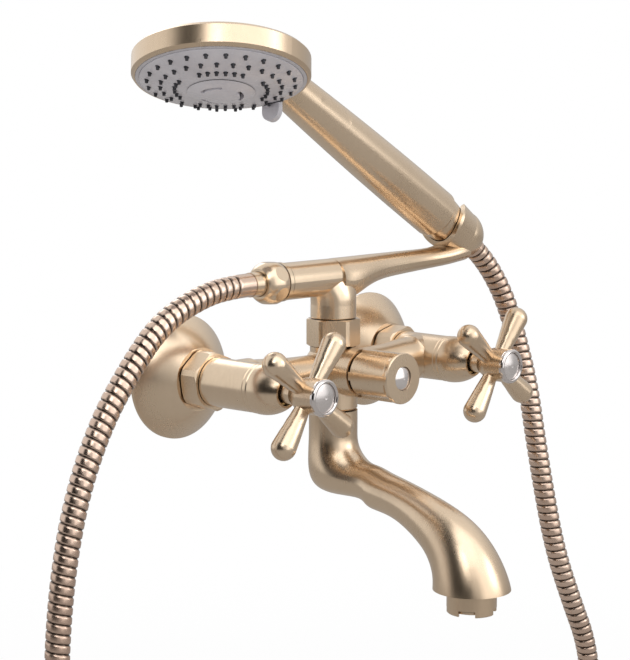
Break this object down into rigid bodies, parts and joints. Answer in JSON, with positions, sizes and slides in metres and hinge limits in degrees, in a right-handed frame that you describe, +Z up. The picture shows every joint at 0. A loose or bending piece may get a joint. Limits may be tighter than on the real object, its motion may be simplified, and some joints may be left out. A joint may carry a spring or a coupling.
{
  "type": "bath shower mixer",
  "caption": "Wall-mounted bath mixer in brushed antique brass with cross handles, swivel spout, diverter knob and a hand shower resting in a cradle on its hose.",
  "frame": {"origin": "on the finished wall, midway between the two wall studs", "axes": "+X right as seen from the front, +Y into the wall, +Z up"},
  "size_m": [0.3908, 0.1829, 0.6049],
  "materials": {
    "antique_brass": "brushed antique brass plating",
    "cast_brass": "machined, bare",
    "hose_steel": "interlocked wound strip, antique brass tone",
    "chrome_ring": "polished",
    "silver_cap": "smooth silver-white",
    "ceramic": "lapped ceramic",
    "steel": "machined",
    "rubber": "smooth",
    "face_plastic": "smooth lilac grey",
    "nozzle_rubber": "soft dark grey",
    "selector_plastic": "smooth light grey",
    "inner_plastic": "moulded"
  },
  "bodies": {
    "mixer": {"eccentric_union_left": "cast_brass", "eccentric_union_right": "cast_brass", "wall_flange_left": "antique_brass", "wall_flange_right": "antique_brass", "union_nut_left": "antique_brass", "union_nut_right": "antique_brass", "union_tail_left": "cast_brass", "union_tail_right": "cast_brass", "cartridge_housing_left": "cast_brass", "cartridge_housing_right": "cast_brass", "fixed_disc_left": "ceramic", "fixed_disc_right": "ceramic", "bonnet_cover_left": "antique_brass", "bonnet_cover_right": "antique_brass", "union_washers": "rubber", "cartridge_seals": "rubber", "mixer_body": "antique_brass", "diverter_sleeve": "cast_brass", "spout_set_screw": "steel", "holder_nut": "antique_brass", "holder_washer": "rubber", "holder_tail": "cast_brass", "shower_holder": "antique_brass", "outlet_nipple": "antique_brass", "check_valve": "inner_plastic", "hose_nut": "antique_brass", "hose_end_outlet": "antique_brass", "hose_washer": "rubber", "shower_hose": "hose_steel"},
    "hot_handle": {"cross_handle_left": "antique_brass", "spindle_left": "cast_brass", "moving_disc_left": "ceramic", "handle_screw_left": "steel", "index_ring_left": "chrome_ring", "index_cap_left": "silver_cap"},
    "cold_handle": {"cross_handle_right": "antique_brass", "spindle_right": "cast_brass", "moving_disc_right": "ceramic", "handle_screw_right": "steel", "index_ring_right": "chrome_ring", "index_cap_right": "silver_cap"},
    "diverter": {"diverter_knob": "antique_brass", "diverter_rotor": "cast_brass", "diverter_screw": "steel", "diverter_button": "silver_cap"},
    "spout": {"spout": "antique_brass", "spout_o_rings": "rubber", "aerator_shell": "antique_brass", "aerator_insert": "inner_plastic", "aerator_washer": "rubber"},
    "handset_nut": {"hose_cone_nut": "antique_brass", "hose_end_handset": "cast_brass"},
    "handset": {"handset_shell": "antique_brass", "handset_washer": "rubber", "spray_face": "face_plastic", "nozzle_mat": "nozzle_rubber", "centre_disc": "face_plastic", "distributor_plate": "inner_plastic", "head_gasket": "rubber"},
    "selector": {"selector_ring": "selector_plastic"}
  },
  "joints": [
    {"name": "hot_handle_turn", "type": "hinge", "parent": "mixer", "child": "hot_handle", "pos_m": [-0.075, -0.096, 0.008], "axis": [0, -1, 0], "range_deg": [0, 90]},
    {"name": "cold_handle_turn", "type": "hinge", "parent": "mixer", "child": "cold_handle", "pos_m": [0.075, -0.096, 0.008], "axis": [0, -1, 0], "range_deg": [-90, 0]},
    {"name": "diverter_turn", "type": "hinge", "parent": "mixer", "child": "diverter", "pos_m": [0, -0.08, 0.008], "axis": [0, -1, 0], "range_deg": [0, 180]},
    {"name": "spout_swivel", "type": "hinge", "parent": "mixer", "child": "spout", "pos_m": [0, -0.043, -0.02], "axis": [0, 0, 1], "range_deg": [-90, 90]},
    {"name": "handset_lift", "type": "slide", "parent": "mixer", "child": "handset_nut", "axis": [-0.8625, 0, 0.506], "range_m": [0, 0.04]},
    {"name": "handset_turn", "type": "hinge", "parent": "handset_nut", "child": "handset", "pos_m": [0.0858, -0.043, 0.0886], "axis": [-0.8625, 0, 0.506], "range_deg": [-90, 90]},
    {"name": "spray_select", "type": "hinge", "parent": "handset", "child": "selector", "pos_m": [-0.08875, -0.04898, 0.16418], "axis": [-0.2567, -0.2423, -0.9356], "range_deg": [-25, 25]}
  ]
}
